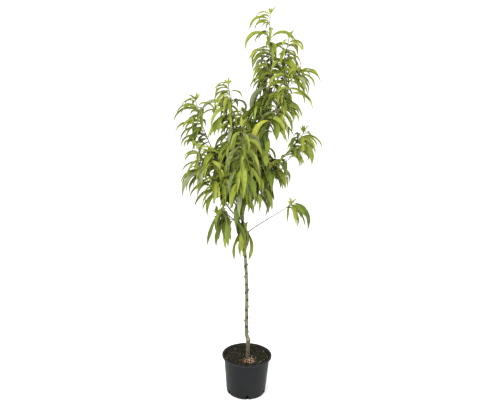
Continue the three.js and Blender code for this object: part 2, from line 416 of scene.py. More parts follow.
def potMaterial():
    material, tree, shader = newMaterial("pot plastic", 0.5, 0.10)
    broad = addNoise(tree, 9, 3)
    ramp = addRamp(
        tree, broad.outputs["Fac"],
        [(0.3, (0.0064, 0.0070, 0.0080)), (0.55, (0.0078, 0.0083, 0.0088)), (0.75, (0.0106, 0.0108, 0.0102))],
    )
    coords = addNode(tree, "TexCoord")
    place = addNode(tree, "SeparateXYZ")
    tree.links.new(coords.outputs["Object"], place.inputs["Vector"])
    # A painted highlight: a thin pale band by height just under the lip, mixed into the plastic's colour.
    highlightBand = addNode(tree, "MapRange", From_Min=pot["height"] - 0.009, From_Max=pot["height"])
    tree.links.new(place.outputs["Z"], highlightBand.inputs["Value"])
    line = addRamp(tree, highlightBand.outputs["Result"], [(0.2, (0, 0, 0)), (0.36, (1, 1, 1)), (0.5, (0, 0, 0))])
    mix = addNode(tree, "Mix", {"data_type": "RGBA"})
    tree.links.new(line.outputs["Color"], mix.inputs["Factor"])
    tree.links.new(ramp.outputs["Color"], mix.inputs[6])
    mix.inputs[7].default_value = (0.060, 0.064, 0.054, 1)  # painted highlight: a pale band along the lip's lower edge, where the rim catches the light
    tree.links.new(mix.outputs[2], shader.inputs["Base Color"])
    scuffs = addNoise(tree, 60, 5, 0.6, (1, 1, 0.35))
    gloss = addNode(tree, "MapRange", From_Min=0.3, From_Max=0.7, To_Min=0.42, To_Max=0.56)
    tree.links.new(scuffs.outputs["Fac"], gloss.inputs["Value"])
    tree.links.new(gloss.outputs["Result"], shader.inputs["Roughness"])
    grain = addNoise(tree, 900, 2)
    first = addBump(tree, shader, grain.outputs["Fac"], 0.15, 0.0004)
    addBump(tree, shader, scuffs.outputs["Fac"], 0.12, 0.0006, first)
    return material


def addPot():
    bin = turnProfile(potProfile(), pot["sides"], pot["ringGap"])
    body = pieceFrom("pot_body", bin, [potMaterial()])
    for i in range(pot["drains"]):
        cutter = drainCutter(pot["drainTurn"] + 360 * i / pot["drains"])
        cut = body.modifiers.new("drain", "BOOLEAN")
        cut.object = cutter
        cut.operation = "DIFFERENCE"
        bpy.context.view_layer.update()
        shaped = bpy.data.meshes.new_from_object(body.evaluated_get(bpy.context.evaluated_depsgraph_get()))
        body.modifiers.clear()
        body.data = shaped
        bpy.data.objects.remove(cutter)
    settle(body, ["pot"])


addPot()


# potting soil with its crumbs, feed pellets and moss

soil = {
    "top": 0.1715,
    "edgeRise": 0.0035,
    "flatRadius": 0.045,
    "edgeRadius": 0.1000,
    # radius and height down the root ball
    "skirt": ((0.0940, 0.120), (0.0860, 0.036), (0.0740, 0.024), (0.0720, 0.0035)),
    "rings": 64,
    "sides": 200,
    "roughness": 0.0022,
    "crumbs": 1450,
    "chips": 300,
    "grit": 40,
    "pellets": 26,
    "spilt": 950,
    "spentPellets": 110,
    "pelletPlace": (0.009, -0.034),
    "pelletSpread": (0.013, 0.018),
    "mossPlace": (0.071, -0.022),
    "mossTufts": 260,
}


def soilHeight(x, y):
    radius = math.hypot(x, y)
    past = max(0, radius - soil["flatRadius"]) / (soil["edgeRadius"] - soil["flatRadius"])
    lumps = noise.fractal(Vector((x * 95, y * 95, 3.1)), 0.8, 2.1, 5)
    fine = noise.noise(Vector((x * 420, y * 420, 7.7)))
    settled = soil["top"] + soil["edgeRise"] * min(1, past)
    return settled + soil["roughness"] * (lumps * 0.9 + fine * 0.35) - 0.0008


def addSoilSurface():
    bin = newBin()
    sides, rings = soil["sides"], soil["rings"]
    bin["verts"].append(Vector((0, 0, soilHeight(0, 0))))
    for i in range(1, rings + 1):
        radius = soil["edgeRadius"] * i / rings
        for j in range(sides):
            angle = 2 * math.pi * (j + 0.5 * (i % 2)) / sides
            x, y = radius * math.cos(angle), radius * math.sin(angle)
            bin["verts"].append(Vector((x, y, soilHeight(x, y))))
    starts = [1 + i * sides for i in range(rings)]
    for radius, height in soil["skirt"]:
        starts.append(len(bin["verts"]))
        for j in range(sides):
            angle = 2 * math.pi * (j + 0.5 * (rings % 2)) / sides
            bin["verts"].append(Vector((radius * math.cos(angle), radius * math.sin(angle), height)))
    for j in range(sides):
        bin["faces"].append((0, 1 + j, 1 + (j + 1) % sides))
    for inner, outer in zip(starts, starts[1:]):
        for j in range(sides):
            k = (j + 1) % sides
            bin["faces"].append((inner + j, outer + j, outer + k, inner + k))
    bin["faces"].append(tuple(starts[-1] + j for j in range(sides))[::-1])
    material = soilMaterial("potting soil", (0.004, 0.0035, 0.0025), (0.026, 0.022, 0.014))
    return pieceFrom("soil_surface", bin, [material])


def soilMaterial(name, dark, light, roughness=0.92):
    material, tree, shader = newMaterial(name, roughness, 0.06)
    grains = addNoise(tree, 260, 6, 0.65)
    middle = [(a + b) / 2 for a, b in zip(dark, light)]
    ramp = addRamp(tree, grains.outputs["Fac"], [(0.34, dark), (0.55, middle), (0.74, light)])
    tree.links.new(ramp.outputs["Color"], shader.inputs["Base Color"])
    addBump(tree, shader, grains.outputs["Fac"], 0.6, 0.0012)
    return material


# The corners and faces of a ball of triangles, each face split once for a rounder one.
def ballShape(splits):
    wide = (1 + 5**0.5) / 2
    spots = []
    for a in (-1, 1):
        for b in (-wide, wide):
            spots += [Vector((0, a, b)), Vector((a, b, 0)), Vector((b, 0, a))]
    spots = [s.normalized() for s in spots]
    edge = min((a - b).length for a in spots for b in spots if a is not b) * 1.01
    faces = []
    for i in range(12):
        for j in range(i + 1, 12):
            for k in range(j + 1, 12):
                near = all((spots[p] - spots[q]).length < edge for p, q in ((i, j), (j, k), (k, i)))
                if near:
                    outward = (spots[j] - spots[i]).cross(spots[k] - spots[i]).dot(spots[i]) > 0
                    faces.append((i, j, k) if outward else (i, k, j))
    for _ in range(splits):
        halves, finer = {}, []
        for face in faces:
            mids = []
            for p, q in zip(face, face[1:] + face[:1]):
                pair = (min(p, q), max(p, q))
                if pair not in halves:
                    halves[pair] = len(spots)
                    spots.append((spots[p] + spots[q]).normalized())
                mids.append(halves[pair])
            a, b, c = face
            ab, bc, ca = mids
            finer += [(a, ab, ca), (b, bc, ab), (c, ca, bc), (ab, bc, ca)]
        faces = finer
    return spots, faces


roughBall = ballShape(1)
smoothBall = ballShape(2)


# A stone, crumb or pellet: the ball squashed, roughened and turned at random.
def addLump(bin, place, size, uneven, roll, ball=roughBall):
    spots, faces = ball
    angle = roll.uniform(0, 6.28)
    axis = Vector((roll.gauss(0, 1), roll.gauss(0, 1), roll.gauss(0, 1)))
    turn = Matrix.Rotation(angle, 3, axis)
    seed = Vector((roll.uniform(0, 90), roll.uniform(0, 90), roll.uniform(0, 90)))
    first = len(bin["verts"])
    for spot in spots:
        bulge = 1 + uneven * noise.noise(spot * 1.3 + seed)
        shaped = Vector((spot.x * size[0], spot.y * size[1], spot.z * size[2])) * bulge
        bin["verts"].append(Vector(place) + turn @ shaped)
    bin["faces"] += [tuple(first + c for c in face) for face in faces]


def spotOnSoil(roll, inner=0.012, outer=0.097):
    while True:
        x, y = roll.uniform(-outer, outer), roll.uniform(-outer, outer)
        fromStem = math.hypot(x - 0.004, y - 0.012)
        if math.hypot(x, y) < outer and fromStem > inner:
            return x, y


def addSoilBits():
    roll = random.Random(11)
    crumbs, chips, grit, pellets, spent, moss = [newBin() for _ in range(6)]
    for _ in range(soil["crumbs"]):
        x, y = spotOnSoil(roll)
        size = roll.uniform(0.0008, 0.0028) * (1.4 if roll.random() < 0.12 else 1)
        place = (x, y, soilHeight(x, y) + size * 0.3)
        addLump(crumbs, place, (size, size * roll.uniform(0.6, 1), size * roll.uniform(0.5, 0.9)), 0.7, roll)
    for _ in range(soil["spilt"]):  # crumbs lying on the ledge inside the rim
        radius, turn = roll.uniform(0.1000, 0.1085), roll.uniform(0, 2 * math.pi)
        size = roll.uniform(0.0009, 0.0020)
        high = pot["height"] - 0.0023 + size * roll.uniform(0, 0.3)
        place = (radius * math.cos(turn), radius * math.sin(turn), high)
        addLump(crumbs, place, (size, size * roll.uniform(0.6, 1), size * roll.uniform(0.4, 0.7)), 0.7, roll)
    for _ in range(soil["chips"]):
        x, y = spotOnSoil(roll)
        size = roll.uniform(0.0014, 0.0046)
        place = (x, y, soilHeight(x, y) + size * 0.25)
        addLump(chips, place, (size, size * 0.38, size * 0.25), 0.5, roll)
    for _ in range(soil["grit"]):
        x, y = spotOnSoil(roll)
        size = roll.uniform(0.0008, 0.0019)
        addLump(grit, (x, y, soilHeight(x, y) + size * 0.6), (size, size, size * 0.8), 0.4, roll)
    heap = []
    while len(heap) < soil["pellets"]:
        x = soil["pelletPlace"][0] + max(-2, min(2, roll.gauss(0, 0.75))) * soil["pelletSpread"][0]
        y = soil["pelletPlace"][1] + max(-1.6, min(1.6, roll.gauss(0, 0.75))) * soil["pelletSpread"][1]
        clear = all(math.dist((x, y), other) > 0.0050 for other in heap)
        if clear and math.dist((x, y), (0.004, 0.012)) > 0.015:
            heap.append((x, y))
    for x, y in heap:
        size = roll.uniform(0.0021, 0.0034)
        place = (x, y, soilHeight(x, y) + size * roll.uniform(0.3, 0.8))
        addLump(pellets, place, (size, size * 0.82, size * 0.8), 0.14, roll, smoothBall)
    for _ in range(soil["spentPellets"]):  # older ones, broken and stained
        x = soil["pelletPlace"][0] + roll.gauss(0, 1.1) * soil["pelletSpread"][0]
        y = soil["pelletPlace"][1] + roll.gauss(0, 0.8) * soil["pelletSpread"][1]
        size = roll.uniform(0.0012, 0.0026)
        addLump(spent, (x, y, soilHeight(x, y) + size * 0.4), (size, size * 0.8, size * 0.6), 0.5, roll)
    for _ in range(soil["mossTufts"]):
        x = soil["mossPlace"][0] + roll.gauss(0, 0.009)
        y = soil["mossPlace"][1] + roll.gauss(0, 0.014)
        if math.hypot(x, y) > 0.094:
            continue
        size = roll.uniform(0.0009, 0.0022)
        addLump(moss, (x, y, soilHeight(x, y) + size * 0.4), (size, size, size * 1.2), 0.6, roll)
    dark = soilMaterial("soil crumbs", (0.0024, 0.0022, 0.0015), (0.032, 0.029, 0.019))
    brown = soilMaterial("bark chips", (0.018, 0.015, 0.010), (0.108, 0.090, 0.063), 0.8)
    pale = soilMaterial("grit", (0.16, 0.16, 0.155), (0.42, 0.42, 0.4), 0.7)
    tan = soilMaterial("feed pellets", (0.15, 0.098, 0.060), (0.47, 0.35, 0.255), 0.5)
    stained = soilMaterial("spent pellets", (0.075, 0.036, 0.018), (0.32, 0.175, 0.092), 0.7)
    green = soilMaterial("moss", (0.004, 0.005, 0.002), (0.027, 0.030, 0.012), 0.95)
    for name, bin, material in (
        ("soil_crumbs", crumbs, dark),
        ("soil_chips", chips, brown),
        ("soil_grit", grit, pale),
        ("feed_pellets", pellets, tan),
        ("spent_pellets", spent, stained),
        ("soil_moss", moss, green),
    ):
        settle(pieceFrom(name, bin, [material]))


settle(addSoilSurface(), ["soil"])
addSoilBits()
print("pot and soil done")


# stem and boughs

trunk = {
    "axis": [
        (4, 12, 164), (3, 12, 225), (3, 12, 248), (-3, 12, 272), (-6, 11, 320),
        (-8, 7, 469), (-15, 3, 593), (-25, -2, 706), (-36, -4, 830), (-39, -4, 912),
    ],
    "sides": 30,
    "step": 2.4 * mm,
    "footRadius": 8.9 * mm,
    "flare": 3.2 * mm,
    "flareHeight": 0.022,
    "soilTop": 0.168,
    "graftHeight": 0.246,
    "graftSwell": 1.6 * mm,
    "graftSpread": 0.009,
    "stemRadius": 8.9 * mm,
    "topRadius": 6.0 * mm,
    # From this height up the stem is coloured near black: painted shade under the crown, over darker bark.
    "shadeFrom": 0.765,
    "cutSlope": 0.5,
    "cutSwell": 1.9 * mm,
    "cutSpread": 0.006,
    "scars": 24,  # where buds were rubbed off
    "scarHeights": (275, 660),  # mm
    "scarTurn": 137.5,  # degrees from one scar to the next
}


# Places of the bud scars: height in mm, and degrees round the stem.
def scarPlaces():
    roll = random.Random(23)
    low, high = trunk["scarHeights"]
    places = []
    for k in range(trunk["scars"]):
        share = (k + roll.uniform(0.15, 0.85)) / trunk["scars"]
        places.append((low + (high - low) * share, k * trunk["scarTurn"] + roll.uniform(-25, 25)))
    return places


scars = scarPlaces()

limbs = {
    "leader": {
        "radius": (4.6, 1.1), "tip": (53, 0, 1674),
        "axis": [(-38, 0, 876), (-22, 20, 992), (12, 30, 1143), (45, 20, 1293), (61, 0, 1430), (52, 0, 1600)],
    },
    "left_high": {
        "radius": (3.6, 1.2), "tip": (-249, 50, 1331),
        "axis": [
            (-37, 0, 846), (-95, 25, 925), (-150, 40, 1071),
            (-186, 50, 1142), (-221, 50, 1230), (-246, 50, 1320),
        ],
    },
    "left_middle": {
        "radius": (3.4, 1.3), "tip": (-233, -30, 1140),
        "axis": [(-36, 0, 818), (-84, -15, 862), (-155, -30, 978), (-207, -30, 1084), (-228, -30, 1130)],
    },
    "left_low": {
        "radius": (3.2, 1.5), "tip": None,
        "axis": [(-32, 0, 768), (-83, -20, 833), (-124, -35, 862), (-157, -40, 840)],
    },
    "upper_left": {
        "radius": (3.8, 1.3), "tip": (-110, -20, 1408),
        "axis": [(-38, 0, 892), (-60, -10, 1041), (-81, -20, 1212), (-98, -20, 1335), (-108, -20, 1396)],
    },
    "shoulder": {
        "radius": (2.8, 1.1), "tip": (132, 40, 1601),
        "axis": [(38, 24, 1245), (87, 30, 1396), (116, 40, 1498), (133, 40, 1590)],
    },
    "right_upper": {
        "radius": (3.4, 1.2), "tip": (181, -40, 1470),
        "axis": [(-14, 24, 1014), (45, 0, 1170), (89, -20, 1300), (124, -30, 1395), (170, -40, 1452)],
    },
    "right_middle": {
        "radius": (3.2, 1.2), "tip": (219, 60, 1208),
        "axis": [
            (-36, 0, 872), (27, 30, 947), (91, 50, 1032),
            (145, 60, 1106), (194, 60, 1165), (216, 60, 1202),
        ],
    },
    "right_low": {
        "radius": (2.4, 1.2), "tip": (169, -50, 916),
        "axis": [(-29, 0, 748), (6, 10, 776), (69, 0, 824), (138, -45, 885), (166, -60, 908)],
    },
    "back_left": {
        "radius": (3.4, 1.3), "tip": None,
        "axis": [(-35, 0, 808), (-70, 70, 900), (-108, 130, 1010), (-118, 160, 1110)],
    },
    "back_right": {
        "radius": (3.4, 1.3), "tip": None,
        "axis": [(-36, 0, 836), (-10, 75, 930), (28, 140, 1030), (38, 172, 1120)],
    },
    "back_high": {
        "radius": (3.2, 1.2), "tip": None,
        "axis": [(-38, 4, 900), (-50, 60, 1020), (-46, 128, 1170), (-40, 150, 1270)],
    },
    "front": {
        "radius": (3.4, 1.2), "tip": None,
        "axis": [(-36, 0, 826), (-44, -70, 920), (-40, -135, 1040), (-44, -152, 1160), (-48, -150, 1260)],
    },
}


def inMetres(points):
    return [Vector(p) * mm for p in points]


def barkRipple(spot, angle, size):
    around = Vector((math.cos(angle), math.sin(angle), 0))
    streak = noise.fractal(around * 2.3 + Vector((0, 0, spot.z * 26)), 0.7, 2.0, 4)
    ring = noise.noise(Vector((3.3, 1.7, spot.z * 210))) + 0.5 * noise.noise(around + up * spot.z * 300)
    return size * (0.75 * streak + 0.3 * ring)


def scarAt(spot, angle, tall, wide):
    most = 0
    for height, turn in scars:
        rise = (spot.z - height * mm) / tall
        if abs(rise) > 3:
            continue
        gap = (angle - math.radians(turn) + math.pi) % (2 * math.pi) - math.pi
        most = max(most, math.exp(-rise * rise - (gap / wide) ** 2))
    return most


def trunkRadius(share, angle, spot):
    above = spot.z > trunk["graftHeight"] + trunk["graftSpread"]
    if above:
        base = trunk["stemRadius"] + (trunk["topRadius"] - trunk["stemRadius"]) * share
    else:
        base = trunk["footRadius"]
    foot = trunk["flare"] * max(0, 1 - (spot.z - trunk["soilTop"]) / trunk["flareHeight"]) ** 2
    root = 1 + 0.35 * math.cos(3 * angle + 0.6) * (foot > 0)
    rise = (spot.z - trunk["graftHeight"]) / trunk["graftSpread"]
    graft = trunk["graftSwell"] * math.exp(-rise * rise) * (1 + 0.9 * math.cos(angle))
    bud = 3.4 * mm * scarAt(spot, angle, 4.5 * mm, 0.5)
    below = (trunk["axis"][-1][2] * mm - trunk["cutSpread"] - spot.z) / trunk["cutSpread"]
    bud += trunk["cutSwell"] * math.exp(-below * below)
    return base + min(foot, trunk["flare"]) * root + graft + bud + barkRipple(spot, angle, 0.6 * mm)


def trunkKind(share, angle, spot):
    if share == 1:
        return 3
    # Above a ragged line the stem takes the near-black colour of painted shade under the crown, over darker
    # bark.
    around = Vector((math.cos(angle), math.sin(angle), spot.z * 30))
    edge = trunk["shadeFrom"] + 0.03 * noise.noise(around * 1.7)
    if spot.z > edge:
        return 2
    if scarAt(spot, angle, 4.8 * mm, 0.95) > 0.3:
        return 4
    return 0 if spot.z < trunk["graftHeight"] else 1


def barkMaterial(name, dark, middle, light, scale=1.0):
    material, tree, shader = newMaterial(name, 0.78, 0.3)
    patches = addNoise(tree, 120 * scale, 6, 0.62, (1, 1, 0.28))
    ramp = addRamp(tree, patches.outputs["Fac"], [(0.36, dark), (0.5, middle), (0.64, light)])
    dashes = addNoise(tree, 420 * scale, 3, 0.5, (0.5, 0.5, 2.2))
    marks = addRamp(tree, dashes.outputs["Fac"], [(0.62, (0, 0, 0)), (0.72, (1, 1, 1))])
    mix = addNode(tree, "Mix", {"data_type": "RGBA"})
    tree.links.new(marks.outputs["Color"], mix.inputs["Factor"])
    tree.links.new(ramp.outputs["Color"], mix.inputs[6])
    mix.inputs[7].default_value = (*[min(1, c * 1.35) for c in light], 1)
    tree.links.new(mix.outputs[2], shader.inputs["Base Color"])
    first = addBump(tree, shader, patches.outputs["Fac"], 0.5, 0.0009)
    addBump(tree, shader, dashes.outputs["Fac"], 0.35, 0.0005, first)
    return material


def addStem():
    bin = newBin()
    line = smoothLine(inMetres(trunk["axis"]), trunk["step"])
    addTube(bin, line, trunk["sides"], trunkRadius, trunkKind)
    top = line[-1]
    for i, spot in enumerate(bin["verts"]):  # the pruning cut slopes down to the left
        near = max(0, 1 - (top.z - spot.z) / 0.012)
        bin["verts"][i] = spot + up * near * trunk["cutSlope"] * (spot.x - top.x)
    materials = [
        barkMaterial("rootstock bark", (0.027, 0.023, 0.012), (0.062, 0.053, 0.029), (0.108, 0.095, 0.056)),
        barkMaterial("stem bark", (0.032, 0.030, 0.015), (0.084, 0.079, 0.044), (0.158, 0.148, 0.096)),
        # darker upper bark with the crown's shade painted into it
        barkMaterial("upper bark in painted shade", (0.0035, 0.0028, 0.0016), (0.010, 0.008, 0.0045), (0.028, 0.022, 0.013)),
        barkMaterial("cut wood", (0.10, 0.075, 0.045), (0.18, 0.14, 0.09), (0.26, 0.21, 0.14), 2),
        barkMaterial("bud scars", (0.004, 0.004, 0.003), (0.009, 0.008, 0.006), (0.024, 0.021, 0.015)),
    ]
    settle(pieceFrom("stem", bin, materials), ["trunk"])


def limbLine(limb, spacing):
    points = list(limb["axis"]) + ([limb["tip"]] if limb["tip"] else [])
    return smoothLine(inMetres(points), spacing)


def addBoughs():
    bin = newBin()
    for limb in limbs.values():
        line = limbLine(limb, 4.5 * mm)
        foot, tip = [r * mm for r in limb["radius"]]

        def radiusAt(share, angle, spot):
            collar = 1.2 * mm * math.exp(-share * 40)
            knots = 0.45 * mm * max(0, math.sin(share * len(line) * 0.9)) ** 6
            return foot + (tip - foot) * share + collar + knots + barkRipple(spot, angle, 0.28 * mm)

        addTube(bin, line, 12, radiusAt)
    material = barkMaterial("bough bark", (0.026, 0.021, 0.014), (0.056, 0.046, 0.030), (0.11, 0.092, 0.060))
    settle(pieceFrom("boughs", bin, [material]), nodesNamed("bough_") + nodesNamed("leader"))


addStem()
addBoughs()
print("stem and boughs done")


# leaves

leafShape = {
    "rows": 15,
    "columns": (-1, -0.55, -0.08, 0.08, 0.55, 1),
    "stalk": 0.045,  # share of the length that is bare stalk
    "widest": 0.42,
    "fold": 40,  # degrees by which each half rises from the rib
    "teeth": 0.02,
    "ripple": 0.9 * mm,
    "rib": 0.75 * mm,
}

# Base colours of the leaves by age and side.
tones = {
    "young": ((0.184, 0.208, 0.022), (0.240, 0.258, 0.034)),
    "fresh": ((0.128, 0.154, 0.015), (0.176, 0.204, 0.024)),
    "mature": ((0.080, 0.110, 0.011), (0.118, 0.152, 0.016)),
    "deep": ((0.044, 0.066, 0.008), (0.072, 0.100, 0.013)),
    # pale is a leaf's grey-green underside, and partly a painted sheen for the whitish highlights on some
    # glossy blades.
    "pale": ((0.130, 0.150, 0.066), (0.178, 0.200, 0.096)),
    "yellow": ((0.212, 0.228, 0.021), (0.265, 0.275, 0.032)),
}

leafBins = {tone: newBin() for tone in tones}
ribBin = newBin()
twigBin = newBin()
leafCount = [0]


# The run of a leaf in its own upright plane: (out, up, slope) at each row. It sets off at the angle
# rise and bends down by the angle bend in all, most of it early if ease is small.
def leafRun(length, rise, bend, ease, rows):
    out = high = 0
    run = [(0, 0, rise)]
    for i in range(rows):
        slope = rise - bend * ((i + 0.5) / rows) ** ease
        out += math.cos(slope) * length / rows
        high += math.sin(slope) * length / rows
        run.append((out, high, rise - bend * ((i + 1) / rows) ** ease))
    return run



def bladeWidth(share, broad):
    widest = 0.5 if broad else leafShape["widest"]
    if share < widest:
        return math.sin(math.pi / 2 * share / widest) ** 0.8
    return math.cos(math.pi / 2 * (share - widest) / (1 - widest)) ** (0.85 if broad else 1.25)


# One leaf: a blade folded along its rib, with a rippled and toothed edge, and a rib that runs on from
# the stalk.
def addLeaf(foot, heading, run, width, tone, roll, torn=0, broad=False, loose=1.0):
    bin = leafBins[tone]
    rows = len(run) - 1
    fold = math.radians(leafShape["fold"] * (0.65 if broad else 1) + roll.uniform(-9, 9))
    lean = math.radians(roll.uniform(-16, 16) * loose)
    twist = math.radians(roll.uniform(-26, 26) * loose)
    sway = math.radians(roll.uniform(-16, 16) * loose)
    phase, waves = roll.uniform(0, 6.28), roll.uniform(1.5, 3.0)
    first = len(bin["verts"])
    spine = []
    spot = foot.copy()
    for i, (out, high, slope) in enumerate(run):
        share = i / rows
        turn = heading + sway * share * share
        ahead = Vector((math.cos(turn), math.sin(turn), 0))
        if i:
            spot = spot + ahead * (out - run[i - 1][0]) + up * (high - run[i - 1][1])
        along = ahead * math.cos(slope) + up * math.sin(slope)
        side = Vector((ahead.y, -ahead.x, 0))
        over = side.cross(along)
        roundTurn = lean + twist * share
        across = side * math.cos(roundTurn) + over * math.sin(roundTurn)
        face = over * math.cos(roundTurn) - side * math.sin(roundTurn)
        blade = max(0, (share - leafShape["stalk"]) / (1 - leafShape["stalk"]))
        half = max(width / 2 * bladeWidth(blade, broad), 0.5 * mm)
        keel = spot - face * 0.5 * half * math.sin(fold)  # the rib lies below the middle of the folded blade
        spine.append((keel, along, across, face))
        for column in leafShape["columns"]:
            edge = abs(column)
            tooth = 1 + leafShape["teeth"] * (1 if i % 2 else -1) * (edge == 1) * (0 < blade < 0.97)
            flat = column * half * math.cos(fold) * tooth
            wave = leafShape["ripple"] * math.sin(phase + waves * 6.28 * share + column) * edge * edge
            lift = edge * half * math.sin(fold) * (1.18 - 0.18 * edge) + wave * min(1, half / (8 * mm))
            bin["verts"].append(keel + across * flat + face * lift)
            bin["uvs"].append((0.5 + column / 2, share))
    wide = len(leafShape["columns"])
    holes = {(roll.randint(4, rows - 3), roll.choice((0, 1, 3, 4))) for _ in range(torn)}
    for i in range(rows):
        for j in range(wide - 1):
            a = first + i * wide + j
            face = (a, a + 1, a + wide + 1, a + wide)
            if (i, j) in holes:
                addHole(bin, face, roll)
            else:
                bin["faces"].append(face)
    addRib(spine)
    leafCount[0] += 1


# A face with a ragged hole that an insect has eaten out of it.
def addHole(bin, face, roll):
    first = len(bin["verts"])
    spots = [bin["verts"][corner] for corner in face]
    marks = [bin["uvs"][corner] for corner in face]
    size = roll.uniform(0.26, 0.38)
    for k in range(8):
        angle = math.radians(202.5 + 45 * k)
        reach = size * roll.uniform(0.8, 1.2)
        u, v = 0.5 + reach * math.cos(angle), 0.5 + reach * math.sin(angle)
        shares = ((1 - u) * (1 - v), u * (1 - v), u * v, (1 - u) * v)
        bin["verts"].append(sum((spot * share for spot, share in zip(spots, shares)), Vector()))
        bin["uvs"].append(tuple(sum(m[n] * share for m, share in zip(marks, shares)) for n in (0, 1)))
    for i in range(4):
        near, far, past = first + 2 * i, first + 2 * i + 1, first + (2 * i + 2) % 8
        bin["faces"].append((face[i], far, near))
        bin["faces"].append((face[i], face[(i + 1) % 4], past, far))


def addRib(spine):
    first = len(ribBin["verts"])
    sides = 4
    last = len(spine) - 1
    for i, (spot, along, across, face) in enumerate(spine):
        size = leafShape["rib"] * (1 - 0.8 * i / last)
        for j in range(sides):
            angle = 2 * math.pi * j / sides
            offset = across * math.cos(angle) * 0.8 + face * math.sin(angle)
            ribBin["verts"].append(spot + offset * size)
    for i in range(last):
        for j in range(sides):
            k = (j + 1) % sides
            a, b = first + i * sides, first + (i + 1) * sides
            ribBin["faces"].append((a + j, b + j, b + k, a + k))


# The blade's colour clouds a little, and side veins leave the rib at a slant.
def leafMaterial(name, dark, light):
    material, tree, shader = newMaterial(name, 0.48, 0.17)
    mottle = addNoise(tree, 55, 5, 0.6)
    ramp = addRamp(tree, mottle.outputs["Fac"], [(0.35, dark), (0.68, light)])
    coords = addNode(tree, "TexCoord")
    across = addNode(tree, "SeparateXYZ")
    tree.links.new(coords.outputs["UV"], across.inputs["Vector"])
    fromRib = addNode(tree, "Math", {"operation": "SUBTRACT"})
    fromRib.inputs[1].default_value = 0.5
    tree.links.new(across.outputs["X"], fromRib.inputs[0])
    distance = addNode(tree, "Math", {"operation": "ABSOLUTE"})
    tree.links.new(fromRib.outputs["Value"], distance.inputs[0])
    slant = addNode(tree, "Math", {"operation": "MULTIPLY_ADD"})
    slant.inputs[1].default_value = -0.16
    tree.links.new(distance.outputs["Value"], slant.inputs[0])
    tree.links.new(across.outputs["Y"], slant.inputs[2])
    rate = addNode(tree, "Math", {"operation": "MULTIPLY"})
    rate.inputs[1].default_value = 150
    tree.links.new(slant.outputs["Value"], rate.inputs[0])
    veins = addNode(tree, "Math", {"operation": "SINE"})
    tree.links.new(rate.outputs["Value"], veins.inputs[0])
    paler = addNode(tree, "MapRange", From_Min=0.75, From_Max=1.0, To_Min=0.0, To_Max=0.25)
    tree.links.new(veins.outputs["Value"], paler.inputs["Value"])
    mix = addNode(tree, "Mix", {"data_type": "RGBA"})
    tree.links.new(paler.outputs["Result"], mix.inputs["Factor"])
    tree.links.new(ramp.outputs["Color"], mix.inputs[6])
    mix.inputs[7].default_value = (*[c * 1.4 for c in light], 1)
    tree.links.new(mix.outputs[2], shader.inputs["Base Color"])
    first = addBump(tree, shader, veins.outputs["Value"], 0.2, 0.0003)
    addBump(tree, shader, mottle.outputs["Fac"], 0.35, 0.0010, first)
    return material


# where leaves may be: inside the masses of the frame, and out of the gaps between them

crown = {
    "slack": 20 * mm,  # by which a leaf may stand out of its mass
    "tipSlack": 36 * mm,
    "neighbours": (90 * mm, 210 * mm),  # how far apart two masses stand that leave a gap between them
    "sameDepth": 80 * mm,
    "core": 120 * mm,  # the dense middle, either side of the stem and up to its top
    "coreTop": 1260 * mm,
    "gapWidth": 13 * mm,
    "gapHeight": 24 * mm,
}

def massTree():
    verts, faces = [], []
    for name in nodesNamed("leaves_"):
        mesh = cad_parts[name].data
        first = len(verts)
        verts += [v.co.copy() for v in mesh.vertices]
        faces += [tuple(first + c for c in p.vertices) for p in mesh.polygons]
    return BVHTree.FromPolygons(verts, faces)


masses = massTree()


def insideMasses(spot, slack):
    near = masses.find_nearest(spot, slack)
    if near[0] is not None:
        return True
    hits, start = 0, spot.copy()
    while hits < 60:
        hit = masses.ray_cast(start, up)[0]
        if hit is None:
            break
        hits += 1
        start = hit + up * 1e-4
    return hits % 2 == 1


# A place seen from the eye, moved along the line of sight to the depth of the stem.
def atStemDepth(spot):
    eye = Vector(view["eye"])
    share = -eye.y / (spot.y - eye.y)
    return eye + (spot - eye) * share


# Sky shows through the crown halfway between neighbouring masses, outside its dense middle.
def gapsBetweenMasses():
    centres = []
    for name in nodesNamed("leaves_"):
        spots = [v.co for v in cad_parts[name].data.vertices]
        centres.append(sum(spots, Vector()) / len(spots))
    stem = trunk["axis"][-1][0] * mm
    gaps = []
    for i, a in enumerate(centres):
        for b in centres[i + 1:]:
            apart = (atStemDepth(a) - atStemDepth(b)).length
            middle = atStemDepth((a + b) / 2)
            inCore = abs(middle.x - stem) < crown["core"] and middle.z < crown["coreTop"]
            near, far = crown["neighbours"]
            if near < apart < far and abs(a.y - b.y) < crown["sameDepth"] and not inCore:
                gaps.append(middle)
    return gaps


gaps = gapsBetweenMasses()
print(len(gaps), "gaps between the masses")


def inGap(spot):
    seen = atStemDepth(spot)
    wide, high = crown["gapWidth"], crown["gapHeight"]
    return any(((seen.x - gap.x) / wide) ** 2 + ((seen.z - gap.z) / high) ** 2 < 1 for gap in gaps)


def leafFits(foot, heading, run):
    ahead = Vector((math.cos(heading), math.sin(heading), 0))
    rows = len(run) - 1
    tried = (rows // 3, rows // 2, 2 * rows // 3, 5 * rows // 6, rows)
    spots = [foot + ahead * run[i][0] + up * run[i][1] for i in tried]
    if any(inGap(spot) for spot in spots):
        return False
    if not insideMasses(spots[-1], crown["tipSlack"]):
        return False
    return all(insideMasses(spot, crown["slack"]) for spot in spots[1:4])


# growth: leaves on the limbs and on seeded side twigs

growth = {
    "seed": 5,
    "gapAtTip": 9 * mm,
    "gapBelow": 19 * mm,
    "turn": 137.5,  # degrees from one leaf node to the next
    "lengthAtTip": 0.118,
    "lengthBelow": 0.136,
    "slender": (0.17, 0.205),  # width over length, at the tip and below
    "broader": 0.22,  # by which a full-grown leaf is wider
    "riseAtTip": 48,
    "riseBelow": 26,
    "hangAtTip": -80,
    "hangBelow": -90,
    "spurAge": 0.28,  # metres: the spurs' leaves are as far on as those that far below a tip
}

